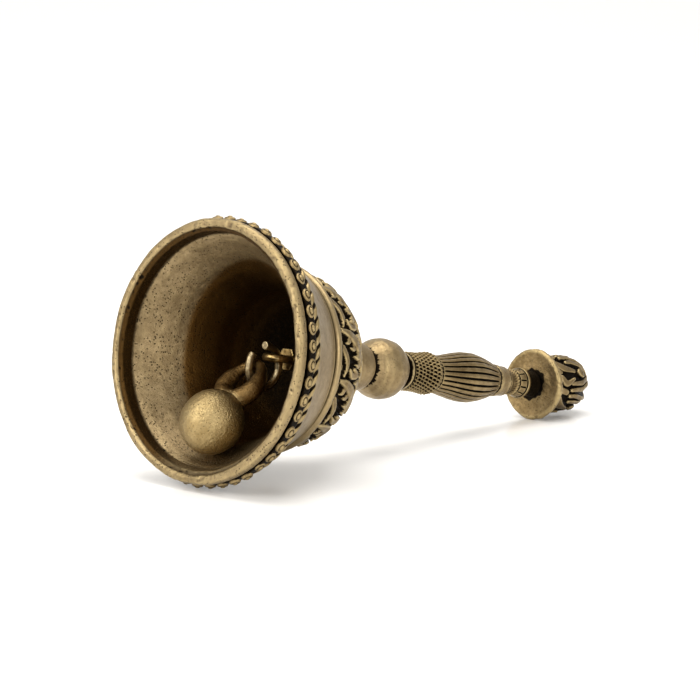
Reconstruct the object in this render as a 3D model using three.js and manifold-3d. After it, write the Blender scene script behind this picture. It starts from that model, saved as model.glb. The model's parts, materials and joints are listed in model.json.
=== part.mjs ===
// A cast brass puja bell lying on its side, as it is put down after use.
// Millimetres, +Z up. The bell's own axis is tilted: it rests on the ring of beads behind its lip
// and on the edge of the saucer under its finial. The mouth faces -X and the finial +X.
//
// Each piece is drawn in the bell's own frame: z runs along the axis from the mouth plane to the
// finial, x points at the side the bell lies on, and the group at the end lays the bell down.
import * as THREE from 'three';
import { mergeVertices } from 'three/addons/utils/BufferGeometryUtils.js';
import Module from 'manifold-3d';

const wasm = await Module();
wasm.setup();

// ---- driving dimensions ------------------------------------------------------------------------
const GAP = 0.3;              // between pieces that touch
const ROUND = 48;             // sides of the bell's big turned pieces
const TURNED = 24;            // sides of the handle's turned pieces

const mouth = { radius: 40, lipWidth: 3.7, lipDepth: 3, edge: 0.8 };
const flare = { lipEnd: 5, lipTaper: 1.2, waistZ: 17.5, waistRadius: 27 };
const hollow = { neckZ: 29.5, neckRadius: 22.7, domeZ: 44, domeRadius: 16.5, crownRadius: 7 };
const band = { startZ: 11.5, startInset: 3, middleZ: 18.5, sag: 0.3, endZ: 26.2 };
const beads = { count: 48, z: 4.9, height: 3.2, proud: 1.3, depth: 3.4 };
const rope = { z: 9.1, width: 2.2, proud: 1.2, strands: 60 };
const waistRing = { z: 28.6, width: 2.8, radius: 30, proud: 0.6 };
const cap = { startZ: 31, radius: 28.5, shoulderZ: 40, shoulderRadius: 27, wall: 2.6, topRadius: 9 };
const crown = { height: 60, wall: 3.4 };
const collar = { length: 11, radius: 8.2, waistRadius: 8 };
const knob = { radius: 10, length: 19 };
const knobRing = { length: 1.5, radius: 6.3 };
const sleeve = { length: 13.9, radius: 6, swell: 6.9 };
const grip = { length: 31.9, radius: 8.3, startRadius: 6, endRadius: 5.5, reeds: 24, reedDepth: 0.5 };
const neck = { length: 6.2, radius: 5.6, waistRadius: 5 };
const cone = {
  length: 16.6, startRadius: 3.6, footZ: 10.6, footRadius: 5.2, stemRadius: 4.2, endRadius: 4.7,
  petals: 12, petalDepth: 0.5,
};
const saucer = { radius: 12.3, thickness: 2.6, dish: 0.7, hubRadius: 5 };
const finial = { length: 24.5, radius: 10.7, footRadius: 6, tipRadius: 6, lobes: 8, lobeDepth: 1.1 };
const finialLean = THREE.MathUtils.degToRad(5);
const rod = { radius: 2, intoFinial: 9, intoEyeNut: 3 };
const crownNut = { acrossFlats: 8, thickness: 4 };
const crownWasher = { radius: 6.4, thickness: 1.6 };
const eyeNut = { acrossFlats: 6.6, thickness: 4.6, belowClampNut: 6.3, eyeRadius: 3.9, wire: 1.3 };
const ringLink = { radius: 6.6, wire: 1.3, drop: 3, openFrom: 187, openTo: 236 };
const clapper = {
  radius: 9.6, halfLength: 10.3, shank: 24.6, eyeWide: 4.9, wire: 1.7, bite: 0.3, restGap: 0.4,
};

const colours = {
  castBrass: { color: 0x9c8455, roughness: 0.4, metalness: 0.9 },
  wornBrass: { color: 0xc2ac76, roughness: 0.35, metalness: 0.9 },
  darkBrass: { color: 0x6b5731, roughness: 0.5, metalness: 0.85 },
  steel: { color: 0x8f8d89, roughness: 0.4, metalness: 0.9 },
};

// ---- places along the axis ---------------------------------------------------------------------
const boreRadius = rod.radius + GAP;
const bandStart = mouth.radius - band.startInset;
const bandEnd = waistRing.radius - waistRing.proud;
const collarZ = crown.height + GAP;
const knobZ = collarZ + collar.length + GAP;
const knobRingZ = knobZ + knob.length + GAP;
const sleeveZ = knobRingZ + knobRing.length + GAP;
const gripZ = sleeveZ + sleeve.length + GAP;
const neckZ = gripZ + grip.length + GAP;
const coneZ = neckZ + neck.length + GAP;
const leanSpace = saucer.hubRadius * Math.tan(finialLean);
const saucerZ = coneZ + cone.length + GAP + leanSpace;
const finialZ = saucerZ + saucer.thickness + GAP;
const capTopZ = crown.height - cap.wall - GAP;   // the cup's top, under the cap's
const hollowEnd = capTopZ - crown.wall;
const washerZ = hollowEnd - GAP - crownWasher.thickness;
const crownNutZ = washerZ - GAP - crownNut.thickness;
const eyeNutEnd = crownNutZ - eyeNut.belowClampNut;
const eyeNutZ = eyeNutEnd - eyeNut.thickness;
const crownEyeZ = eyeNutZ - eyeNut.eyeRadius + eyeNut.wire * 0.5;

// ---- helpers -----------------------------------------------------------------------------------
// A turned piece: an outline of [radius, z] points, counter-clockwise, closed on itself or ending
// on the axis at both ends. flute(angle, radius, z) may push the outside in.
function turn(outline, sides, flute) {
  const closed = outline[0][0] > 0 ? [...outline, outline[0]] : outline;
  const geometry = new THREE.LatheGeometry(closed.map(([r, z]) => new THREE.Vector2(r, z)), sides);
  geometry.rotateX(Math.PI / 2);
  if (!flute) return geometry;
  const position = geometry.attributes.position;
  for (let i = 0; i < position.count; i += 1) {
    const [x, y, z] = [position.getX(i), position.getY(i), position.getZ(i)];
    const radius = Math.hypot(x, y);
    if (radius < 1e-6) continue;
    const scale = (radius - flute(Math.atan2(y, x), radius, z)) / radius;
    position.setXY(i, x * scale, y * scale);
  }
  return geometry;
}

// A bored handle piece: the outside from its lower to its upper end, with the rod's hole.
function bored(outside, bore = boreRadius) {
  return [[bore, outside[0][1]], ...outside, [bore, outside.at(-1)[1]]];
}

// How far a groove goes in, 0 on the crest of each lobe and 1 half way between two.
const groove = (angle, count) => (1 - Math.cos(count * angle)) / 2;

// An outline moved inward along its own normals, for a shell that lies inside another.
function inset(points, distance) {
  return points.map(([r, z], i) => {
    const [r0, z0] = points[Math.max(i - 1, 0)];
    const [r1, z1] = points[Math.min(i + 1, points.length - 1)];
    const length = Math.hypot(r1 - r0, z1 - z0);
    return [r - distance * (z1 - z0) / length, z + distance * (r1 - r0) / length];
  });
}

function toSolid(geometry) {
  const bare = geometry.clone();
  bare.deleteAttribute('normal');
  bare.deleteAttribute('uv');
  const welded = mergeVertices(bare, 1e-4);
  return new wasm.Manifold(new wasm.Mesh({
    numProp: 3,
    vertProperties: new Float32Array(welded.attributes.position.array),
    triVerts: new Uint32Array(welded.index.array),
  }));
}

function toGeometry(solid) {
  const mesh = solid.getMesh();
  const geometry = new THREE.BufferGeometry();
  geometry.setAttribute('position', new THREE.BufferAttribute(mesh.vertProperties, 3));
  geometry.setIndex(new THREE.BufferAttribute(mesh.triVerts, 1));
  geometry.computeVertexNormals();
  return geometry;
}

const join = (...geometries) => toGeometry(geometries.map(toSolid).reduce((a, b) => a.add(b)));
const cut = (geometry, tool) => toGeometry(toSolid(geometry).subtract(toSolid(tool)));

function cylinder(radius, z0, z1, sides = TURNED) {
  return turn([[0, z0], [radius, z0], [radius, z1], [0, z1]], sides);
}

// ---- the bell ----------------------------------------------------------------------------------
// The outside of the carved cap, which the cup's dome follows one wall further in.
const capOutside = [
  [cap.radius, cap.startZ],
  [cap.radius - 0.4, (cap.startZ + cap.shoulderZ) / 2],
  [cap.shoulderRadius, cap.shoulderZ],
  [cap.shoulderRadius - 2, cap.shoulderZ + 4],
  [cap.topRadius + 11, crown.height - 10],
  [cap.topRadius + 7.4, crown.height - 6],
  [cap.topRadius + 3.5, crown.height - 2],
  [cap.topRadius, crown.height],
];

// The hollow's wall from the lip to the middle of the crown.
const hollowWall = [
  [mouth.radius - mouth.lipWidth, mouth.edge],
  [mouth.radius - mouth.lipWidth - flare.lipTaper, flare.lipEnd],
  [(mouth.radius - mouth.lipWidth - flare.lipTaper + flare.waistRadius) / 2 - 0.4, 11],
  [flare.waistRadius, flare.waistZ],
  [(flare.waistRadius + hollow.neckRadius) / 2 - 0.4, (flare.waistZ + hollow.neckZ) / 2],
  [hollow.neckRadius, hollow.neckZ],
  [(hollow.neckRadius + hollow.domeRadius) / 2 + 1.2, (hollow.neckZ + hollow.domeZ) / 2],
  [hollow.domeRadius, hollow.domeZ],
  [hollow.crownRadius, hollowEnd],
];

function bellCup() {
  const lip = mouth.radius - mouth.lipWidth;
  const beadSeat = mouth.radius + beads.proud - beads.depth - GAP;
  const ropeSeat = bandStart + rope.proud - rope.width - GAP;
  const ringSeat = waistRing.radius - waistRing.width * 0.75 - GAP;
  const dome = inset(capOutside, cap.wall + 2 * GAP).slice(1, -1);
  return turn([
    [boreRadius, hollowEnd],
    ...hollowWall.toReversed(),
    [lip + mouth.edge, 0],
    [mouth.radius - mouth.edge, 0],
    [mouth.radius, mouth.edge],
    [mouth.radius, mouth.lipDepth - mouth.edge / 2],
    [beadSeat, mouth.lipDepth],
    [beadSeat, beads.z + beads.height / 2 + GAP],
    [ropeSeat, rope.z - rope.width / 2 - GAP],
    [ropeSeat, rope.z + rope.width / 2 + GAP],
    [bandStart, band.startZ],
    [(bandStart + bandEnd) / 2 - band.sag, band.middleZ],
    [bandEnd, band.endZ],
    [ringSeat, band.endZ + GAP],
    [ringSeat, waistRing.z + waistRing.width / 2 + GAP],
    [cap.radius - cap.wall - GAP, waistRing.z + waistRing.width / 2 + GAP],
    ...dome,
    [cap.topRadius - 1, capTopZ],
    [boreRadius, capTopZ],
  ], ROUND);
}

// A half round band of a given depth, lying with its flat back on the cup.
function halfRound(outer, z, width, depth) {
  return [
    [outer - depth, z - width / 2],
    [outer - depth / 3, z - width / 2],
    [outer, z - width / 5],
    [outer, z + width / 5],
    [outer - depth / 3, z + width / 2],
    [outer - depth, z + width / 2],
  ];
}

// Two sides for each bead, so that crest and valley take turns around the ring.
function beadRing() {
  const outer = mouth.radius + beads.proud;
  const back = outer - beads.depth;
  return turn(halfRound(outer, beads.z, beads.height, beads.depth), 2 * beads.count, (angle, radius) => (
    radius > back + 0.1 ? 1.5 * groove(angle, beads.count) : 0
  ));
}

function ropeRing() {
  const outer = bandStart + rope.proud;
  return turn(halfRound(outer, rope.z, rope.width, rope.width), rope.strands);
}

function waistBand() {
  return turn(halfRound(waistRing.radius, waistRing.z, waistRing.width, waistRing.width * 0.75), ROUND);
}

function crownCap() {
  const inside = inset(capOutside, cap.wall).slice(1, -1).toReversed();
  return turn([
    [boreRadius, crown.height - cap.wall],
    [cap.topRadius - 1, crown.height - cap.wall],
    ...inside,
    [cap.radius - cap.wall, cap.startZ],
    ...capOutside,
    [boreRadius, crown.height],
  ], ROUND);
}

// ---- the handle --------------------------------------------------------------------------------
function crownCollar() {
  const end = collarZ + collar.length;
  return turn(bored([
    [collar.radius, collarZ],
    [collar.waistRadius, collarZ + 3],
    [collar.waistRadius, end - 3],
    [collar.radius, end - 1],
    [collar.radius - 0.6, end],
  ]), TURNED);
}

// A ball with both ends cut flat where its neighbours sit.
function handleKnob() {
  const steps = 8;
  const reach = Math.asin(knob.length / 2 / knob.radius);
  const outside = [];
  for (let i = 0; i <= steps; i += 1) {
    const angle = reach * (2 * i / steps - 1);
    outside.push([knob.radius * Math.cos(angle), knobZ + knob.length / 2 + knob.radius * Math.sin(angle)]);
  }
  return turn(bored(outside), TURNED);
}

function thinRing() {
  const outline = halfRound(knobRing.radius, knobRingZ + knobRing.length / 2, knobRing.length,
    knobRing.radius - boreRadius);
  return turn(outline, TURNED);
}

function weaveSleeve() {
  return turn(bored([
    [sleeve.radius, sleeveZ],
    [sleeve.radius + 0.2, sleeveZ + sleeve.length / 2],
    [sleeve.swell, sleeveZ + sleeve.length - 2],
    [sleeve.radius, sleeveZ + sleeve.length],
  ]), TURNED);
}

// The pear shaped grip swells to its full radius a little past half way, between its two ends.
function reededGrip() {
  const steps = 8;
  const outside = [];
  for (let i = 0; i <= steps; i += 1) {
    const t = i / steps;
    const ends = grip.startRadius + (grip.endRadius - grip.startRadius) * t;
    const swell = Math.sin(Math.PI * t ** 1.2) ** 1.3;
    outside.push([ends + (grip.radius - ends) * swell, gripZ + grip.length * t]);
  }
  return turn(bored(outside), 2 * grip.reeds, (angle, radius) => (
    radius > boreRadius + 0.1 ? grip.reedDepth * groove(angle, grip.reeds) : 0
  ));
}

function neckRing() {
  const end = neckZ + neck.length;
  return turn(bored([
    [neck.radius - 0.4, neckZ],
    [neck.radius, neckZ + 1],
    [neck.waistRadius, neckZ + 3.2],
    [neck.radius, end - 1.2],
    [neck.radius - 0.6, end],
  ]), TURNED);
}

// The petals end in a foot, and a plain narrow stem carries it on the saucer.
function petalCone() {
  const end = coneZ + cone.length;
  const foot = coneZ + cone.footZ;
  return turn(bored([
    [cone.startRadius, coneZ],
    [cone.startRadius + 0.6, coneZ + 1.5],
    [cone.startRadius, coneZ + 3],
    [cone.footRadius, foot - 2],
    [cone.footRadius - 0.4, foot],
    [cone.stemRadius, foot + 1.2],
    [cone.stemRadius, end - 1.5],
    [cone.endRadius, end],
  ]), 2 * cone.petals, (angle, radius, z) => (
    radius > boreRadius + 0.1 && z < foot + 0.1 ? cone.petalDepth * groove(angle, cone.petals) : 0
  ));
}

// The saucer and the finial lean together, so the rod's holes in them are wider by the lean.
const leanBore = boreRadius + (saucer.thickness + rod.intoFinial) * Math.tan(finialLean);

function saucerDisc() {
  const top = saucerZ + saucer.thickness;
  return turn(bored([
    [saucer.hubRadius, saucerZ + saucer.dish],
    [saucer.radius - 3, saucerZ],
    [saucer.radius - 0.8, saucerZ],
    [saucer.radius, saucerZ + 0.8],
    [saucer.radius, top - 0.8],
    [saucer.radius - 0.8, top],
    [saucer.hubRadius, top],
  ], leanBore), ROUND * 2 / 3);
}

// A lotus bud of eight lobes on a narrow foot, with a blind hole for the rod.
function lotusFinial() {
  const end = finialZ + finial.length;
  const socket = finialZ + rod.intoFinial + 1;
  const outline = [
    [0, socket],
    [leanBore, socket],
    [leanBore, finialZ],
    [finial.footRadius, finialZ],
    [finial.radius - 0.8, finialZ + 2],
    [finial.radius, finialZ + 5.5],
    [finial.radius - 0.8, finialZ + 10],
    [finial.radius - 2, finialZ + 16],
    [finial.tipRadius, end - 4],
    [finial.tipRadius / 2, end - 1],
    [0, end],
  ];
  return turn(outline, 4 * finial.lobes, (angle, radius, z) => {
    const along = (z - finialZ) / finial.length;
    const outside = radius > leanBore + 0.1 && along > 0.03 && along < 0.95;
    return outside ? finial.lobeDepth * groove(angle, finial.lobes) : 0;
  });
}

// ---- the rod and what hangs from it ------------------------------------------------------------
const rodStart = eyeNutEnd - rod.intoEyeNut;

function tieRod() {
  return cylinder(rod.radius, rodStart, finialZ + rod.intoFinial, 12);
}

// The six corners of the nut lie on a circle this much larger than half its width.
const cornerRadius = (acrossFlats) => acrossFlats / 2 / Math.cos(Math.PI / 6);

function clampNut() {
  const body = cylinder(cornerRadius(crownNut.acrossFlats), crownNutZ, crownNutZ + crownNut.thickness, 6);
  return cut(body, cylinder(boreRadius, crownNutZ - 1, crownNutZ + crownNut.thickness + 1, 12));
}

function clampWasher() {
  const top = washerZ + crownWasher.thickness;
  return turn([
    [boreRadius, washerZ], [crownWasher.radius, washerZ], [crownWasher.radius, top], [boreRadius, top],
  ], TURNED);
}

// A hexagon with a blind socket on the rod's end and a cast eye towards the mouth. The eye's hole
// faces the side that the bell lies on.
function swivelEyeNut() {
  const body = cylinder(cornerRadius(eyeNut.acrossFlats), eyeNutZ, eyeNutEnd, 6);
  const eye = new THREE.TorusGeometry(eyeNut.eyeRadius, eyeNut.wire, 8, 24);
  eye.rotateY(Math.PI / 2);
  eye.translate(0, 0, crownEyeZ);
  const socket = cylinder(boreRadius, rodStart - GAP, eyeNutEnd + 1, 12);
  return cut(join(body, eye), socket);
}

// The open link hangs on the crown eye's near side. Angles run from the side the bell lies on.
const linkCentre = {
  x: ringLink.drop,
  z: crownEyeZ - eyeNut.eyeRadius
    - Math.sqrt((ringLink.radius - ringLink.wire - eyeNut.wire - GAP) ** 2 - ringLink.drop ** 2),
};

function openLink() {
  const from = THREE.MathUtils.degToRad(ringLink.openTo);
  const sweep = THREE.MathUtils.degToRad(360 + ringLink.openFrom - ringLink.openTo);
  const points = [];
  const steps = 22;
  for (let i = 0; i <= steps; i += 1) {
    const angle = from + sweep * i / steps;
    points.push(new THREE.Vector3(
      linkCentre.x + ringLink.radius * Math.cos(angle), 0, linkCentre.z + ringLink.radius * Math.sin(angle),
    ));
  }
  const section = new THREE.Shape(new THREE.Path().absarc(0, 0, ringLink.wire, 0, 2 * Math.PI).getPoints(4)
    .slice(0, -1));
  return new THREE.ExtrudeGeometry(section, {
    steps, extrudePath: new THREE.CatmullRomCurve3(points), bevelEnabled: false,
  });
}

// The clapper's pivot is the middle of its eye's top bend, inside the link.
const pivotReach = ringLink.radius - ringLink.wire - clapper.wire - GAP;
const clapperPivot = { x: linkCentre.x - 0.12 * pivotReach, z: linkCentre.z - 0.993 * pivotReach };

// How far a point in the swing's plane is from the hollow's wall.
function wallGap(x, z) {
  for (let i = 1; i < hollowWall.length; i += 1) {
    const [[r0, z0], [r1, z1]] = [hollowWall[i - 1], hollowWall[i]];
    if (z < z0 || z > z1) continue;
    const radius = r0 + (r1 - r0) * (z - z0) / (z1 - z0);
    return (radius - x) * (z1 - z0) / Math.hypot(r1 - r0, z1 - z0);
  }
  return Infinity;
}

// The least gap around the ball's outline when the clapper is tilted from the axis.
function ballGap(tilt) {
  let least = Infinity;
  for (let degrees = 0; degrees < 360; degrees += 5) {
    const angle = THREE.MathUtils.degToRad(degrees);
    const along = clapper.shank + clapper.halfLength * Math.cos(angle);
    const across = clapper.radius * Math.sin(angle);
    least = Math.min(least, wallGap(
      clapperPivot.x + along * Math.sin(tilt) + across * Math.cos(tilt),
      clapperPivot.z - along * Math.cos(tilt) + across * Math.sin(tilt),
    ));
  }
  return least;
}

// The clapper falls about its pivot until the ball is one rest gap short of the wall.
function restTilt() {
  let [low, high] = [0, Math.PI / 2];
  for (let i = 0; i < 40; i += 1) {
    const tilt = (low + high) / 2;
    if (ballGap(tilt) > clapper.restGap) low = tilt; else high = tilt;
  }
  return low;
}

// Drawn hanging straight down from the pivot, then swung to its rest. The eye is wider at the ball.
function clapperBall() {
  const eyeLong = (clapper.shank - clapper.halfLength + clapper.bite) / 2;
  const ball = new THREE.SphereGeometry(clapper.radius, 24, 14);
  ball.rotateX(Math.PI / 2);
  ball.scale(1, 1, clapper.halfLength / clapper.radius);
  ball.translate(0, 0, -clapper.shank);
  const eye = new THREE.TorusGeometry(2, 1, 8, 24);
  const position = eye.attributes.position;
  for (let i = 0; i < position.count; i += 1) {
    const around = Math.atan2(position.getY(i), position.getX(i));
    const outward = clapper.wire * (Math.hypot(position.getX(i), position.getY(i)) - 2);
    const wide = clapper.eyeWide * (1.2 - 0.2 * Math.sin(around)) + outward;
    const long = eyeLong + outward;
    position.setXYZ(i, clapper.wire * position.getZ(i), wide * Math.cos(around),
      long * Math.sin(around) - eyeLong);
  }
  return join(ball, eye);
}

// ---- the assembly ------------------------------------------------------------------------------
function piece(name, geometry, colour) {
  const mesh = new THREE.Mesh(geometry, new THREE.MeshStandardMaterial(colours[colour]));
  mesh.name = name;
  return mesh;
}

const clapperMesh = piece('clapper', clapperBall(), 'wornBrass');
clapperMesh.position.set(clapperPivot.x, 0, clapperPivot.z);
clapperMesh.rotation.y = -restTilt();

const leaning = new THREE.Group();
leaning.position.z = saucerZ;
leaning.rotation.y = -finialLean;
for (const mesh of [
  piece('saucer', saucerDisc(), 'wornBrass'),
  piece('finial', lotusFinial(), 'wornBrass'),
]) {
  mesh.position.z = -saucerZ;
  leaning.add(mesh);
}

const axis = new THREE.Group();
axis.add(
  piece('bell_cup', bellCup(), 'castBrass'),
  piece('bead_ring', beadRing(), 'wornBrass'),
  piece('rope_ring', ropeRing(), 'castBrass'),
  piece('waist_ring', waistBand(), 'wornBrass'),
  piece('crown_cap', crownCap(), 'darkBrass'),
  piece('crown_collar', crownCollar(), 'wornBrass'),
  piece('handle_knob', handleKnob(), 'wornBrass'),
  piece('knob_ring', thinRing(), 'wornBrass'),
  piece('weave_sleeve', weaveSleeve(), 'darkBrass'),
  piece('reeded_grip', reededGrip(), 'castBrass'),
  piece('neck_ring', neckRing(), 'wornBrass'),
  piece('petal_cone', petalCone(), 'darkBrass'),
  leaning,
  piece('tie_rod', tieRod(), 'steel'),
  piece('crown_washer', clampWasher(), 'castBrass'),
  piece('crown_nut', clampNut(), 'castBrass'),
  piece('swivel_eye_nut', swivelEyeNut(), 'wornBrass'),
  piece('ring_link', openLink(), 'steel'),
  clapperMesh,
);

// Two circles touch the floor: the beads, and the saucer's rounded edge where the lean puts it
// lowest. The line through both sets how far the axis dips towards the finial.
const edgeZ = saucerZ + saucer.radius * Math.sin(finialLean);
const dip = Math.atan((mouth.radius + beads.proud - saucer.radius) / (edgeZ - beads.z));
axis.rotation.y = Math.PI / 2 + dip;

// The origin is the middle of the whole bell's box, on the floor.
const bell = new THREE.Group();
bell.add(axis);
const box = new THREE.Box3().setFromObject(bell, true);
const middle = box.getCenter(new THREE.Vector3());
bell.position.set(-middle.x, -middle.y, -box.min.z);

export default bell;
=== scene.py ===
# %% [markdown]
# # A brass puja bell lying on its side
# A hand bell for household worship: a thick cast cup with a beaded lip, a dome carved with
# scrolling leaves, a turned handle with a ball, a woven sleeve and a reeded grip, a saucer and a
# carved bud at the end. A clapper hangs inside on an open link. The castings are threaded on one
# rod, so each is modelled as a piece of its own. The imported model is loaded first, as a fixed
# frame that everything else is measured from.
# %% Load the frame
import json
import math
import bmesh
import bpy
import numpy as np
from mathutils import Matrix, Vector


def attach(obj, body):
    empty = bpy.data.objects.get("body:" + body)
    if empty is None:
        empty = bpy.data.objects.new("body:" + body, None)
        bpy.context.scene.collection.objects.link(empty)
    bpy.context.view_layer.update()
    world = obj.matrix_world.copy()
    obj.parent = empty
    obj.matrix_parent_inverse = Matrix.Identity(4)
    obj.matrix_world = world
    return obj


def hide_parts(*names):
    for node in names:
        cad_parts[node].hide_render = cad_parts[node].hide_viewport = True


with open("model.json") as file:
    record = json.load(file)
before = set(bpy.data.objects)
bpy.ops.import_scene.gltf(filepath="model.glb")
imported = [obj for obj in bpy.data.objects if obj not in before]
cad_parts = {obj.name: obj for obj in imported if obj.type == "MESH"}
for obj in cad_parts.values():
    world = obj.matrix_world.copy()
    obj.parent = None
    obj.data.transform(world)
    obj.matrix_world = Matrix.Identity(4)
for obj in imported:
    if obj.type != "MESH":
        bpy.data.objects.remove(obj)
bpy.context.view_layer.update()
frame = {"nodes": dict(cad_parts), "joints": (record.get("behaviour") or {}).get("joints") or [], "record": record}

# %% [markdown]
# The bell's own axis dips towards the finial, because it lies on its bead ring and its saucer.
# Turned pieces are far easier to draw about an upright axis, so every piece is drawn in
# millimetres in the bell's own frame: z from the mouth plane to the finial, x towards the side
# that the bell lies on. One matrix then lays the finished mesh down in the row frame.
# %% The bell's own frame
MM = 0.001
joints = {joint["name"]: joint for joint in frame["joints"]}
mounts = {mount["name"]: mount for mount in frame["record"]["mounts"]}
axis = Vector(joints["eye_nut_turn"]["axis"]).normalized()
axis_point = Vector(joints["eye_nut_turn"]["pos_m"])
mouth = axis_point + axis * (Vector(mounts["rim_face"]["pos_m"]) - axis_point).dot(axis)
across = Vector((0, 1, 0))
underside = across.cross(axis)
lay_down = Matrix.Translation(mouth) @ Matrix((underside, across, axis)).transposed().to_4x4()
stand_up = lay_down.inverted()
print("mouth centre", [round(v, 4) for v in mouth], "dip", round(math.degrees(math.asin(-axis.z)), 2))


def vertex_places(mesh):
    """A mesh's vertices, one row of three metres each."""
    flat = np.empty(len(mesh.vertices) * 3)
    mesh.vertices.foreach_get("co", flat)
    return flat.reshape(-1, 3)


def node_points(node):
    """A CAD node's vertices in the bell's own frame, in millimetres."""
    turn = np.array(stand_up.to_3x3())
    return (vertex_places(frame["nodes"][node].data) @ turn.T + np.array(stand_up.translation)) / MM


def span(node):
    """Where a CAD node starts and ends along the axis, and its largest radius."""
    points = node_points(node)
    return points[:, 2].min(), points[:, 2].max(), np.hypot(points[:, 0], points[:, 1]).max()


def joint_place(name):
    """A joint's point in the bell's own frame, in millimetres."""
    return np.array(stand_up @ Vector(joints[name]["pos_m"])) / MM


for node in ("bell_cup", "crown_cap", "handle_knob", "reeded_grip", "saucer", "finial"):
    print(node, [round(v, 1) for v in span(node)])

# %% [markdown]
# Cast metal is never quite even. A small lattice noise, the same on every run because it comes
# from a hash of whole numbers, gives the dents, the wavering lip and the worn places. The wear
# itself is measured from the finished mesh: a vertex that stands proud of its smoothed
# neighbourhood is rubbed bright, and one that lies below it keeps its dark patina.
# %% Helpers for cast surfaces
def hashed(cell, seed):
    """A value from -1 to 1 for each whole-number lattice cell."""
    key = cell.astype(np.int64)
    mix = key[..., 0] * 73856093 ^ key[..., 1] * 19349663 ^ key[..., 2] * 83492791 ^ seed * 2654435761
    mix = (mix ^ (mix >> 13)) * 1274126177 & 0xFFFFFFFF
    mix = (mix ^ (mix >> 16)) & 0xFFFFFF
    return mix / 0x7FFFFF - 1.0


def lumps(points, size, seed):
    """Smooth noise from -1 to 1 at points, with lumps of the given size."""
    scaled = points / size
    cell = np.floor(scaled)
    blend = scaled - cell
    blend = blend * blend * (3 - 2 * blend)
    total = np.zeros(points.shape[:-1])
    for corner in np.ndindex(2, 2, 2):
        weight = np.prod(np.where(np.array(corner) == 1, blend, 1 - blend), axis=-1)
        total += weight * hashed(cell + np.array(corner), seed)
    return total


def step_up(value, low, high):
    """0 below low, 1 above high, and a smooth rise between."""
    t = np.clip((value - low) / (high - low), 0, 1)
    return t * t * (3 - 2 * t)


def step_down(value, low, high):
    """1 below low, 0 above high, and a smooth fall between."""
    return step_up(-value, -high, -low)


def in_scene(name, data):
    """A new object in the scene, for a mesh, a lamp or a camera."""
    obj = bpy.data.objects.new(name, data)
    bpy.context.scene.collection.objects.link(obj)
    return obj


def as_object(name, vertices, faces):
    """A mesh object from vertices in the bell's own frame, laid down in the row frame."""
    mesh = bpy.data.meshes.new(name)
    mesh.from_pydata((np.asarray(vertices) * MM).tolist(), [], faces)
    mesh.transform(lay_down)
    mesh.shade_smooth()
    return in_scene(name, mesh)


def vertex_normals(mesh):
    """A mesh's vertex normals, one row each."""
    flat = np.empty(len(mesh.vertices) * 3)
    mesh.vertex_normals.foreach_get("vector", flat)
    return flat.reshape(-1, 3)


def store(mesh, name, values):
    """Keeps one value for each vertex, for the materials to read."""
    attribute = mesh.attributes.new(name, "FLOAT", "POINT")
    attribute.data.foreach_set("value", values.astype(np.float32))


def mark_wear(obj, reach=0.25, passes=14, soot_and_shade=None):
    """Stores how proud (polish) and how sunk (patina) each vertex lies, from 0 to 1. Soot and painted shade that
    are passed in are added to the patina.
    """
    mesh = obj.data
    count = len(mesh.vertices)
    place, normal = vertex_places(mesh) / MM, vertex_normals(mesh)
    ends = np.empty(len(mesh.edges) * 2, int)
    mesh.edges.foreach_get("vertices", ends)
    one, two = ends.reshape(-1, 2).T
    degree = np.maximum(np.bincount(np.r_[one, two], minlength=count), 1)[:, None]
    smooth = place.copy()
    for _ in range(passes):
        total = np.stack([
            np.bincount(one, smooth[two, k], count) + np.bincount(two, smooth[one, k], count)
            for k in range(3)], axis=1)
        smooth = 0.5 * smooth + 0.5 * total / degree
    height = ((place - smooth) * normal).sum(1) / reach
    patina_and_shade = np.clip(-height, 0, 1)
    # Soot and painted shade given by the piece join the patina.
    if soot_and_shade is not None:
        patina_and_shade = np.maximum(patina_and_shade, np.clip(soot_and_shade, 0, 1))
    store(mesh, "polish", np.clip(height, 0, 1))
    store(mesh, "patina_and_shade", patina_and_shade)
    return obj


# %% [markdown]
# Most of the bell was turned or cast round, so one builder makes those pieces: a closed section
# of radius and height, with its corners eased, is carried round the axis in many columns. A
# relief function may raise or sink the skin, which is how the carving, the pits at the lip and
# the dents in the ball are really there and not only painted.
# %% The builder for turned pieces
BORE = 2.3  # the radius of the hole for the rod, in mm
BORE_STEP = 2.0


def eased(corners, step=0.4, passes=2):
    """A closed section through the corners, finely stepped, with its corners eased.
    The step is a length, or a function that gives one for a radius and a height. Inside the
    rod's bore, which nobody sees, the steps are long."""
    ring = np.array(corners + corners[:1], float)
    points = []
    for start, end in zip(ring[:-1], ring[1:]):
        middle = (start + end) / 2
        here = step(*middle) if callable(step) else step
        here = BORE_STEP if middle[0] < BORE + 0.01 else here
        count = max(1, round(float(np.linalg.norm(end - start)) / here))
        points += [start + (end - start) * k / count for k in range(count)]
    points = np.array(points)
    for _ in range(passes):
        points = (np.roll(points, 1, 0) + 2 * points + np.roll(points, -1, 0)) / 4
    return points


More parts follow.
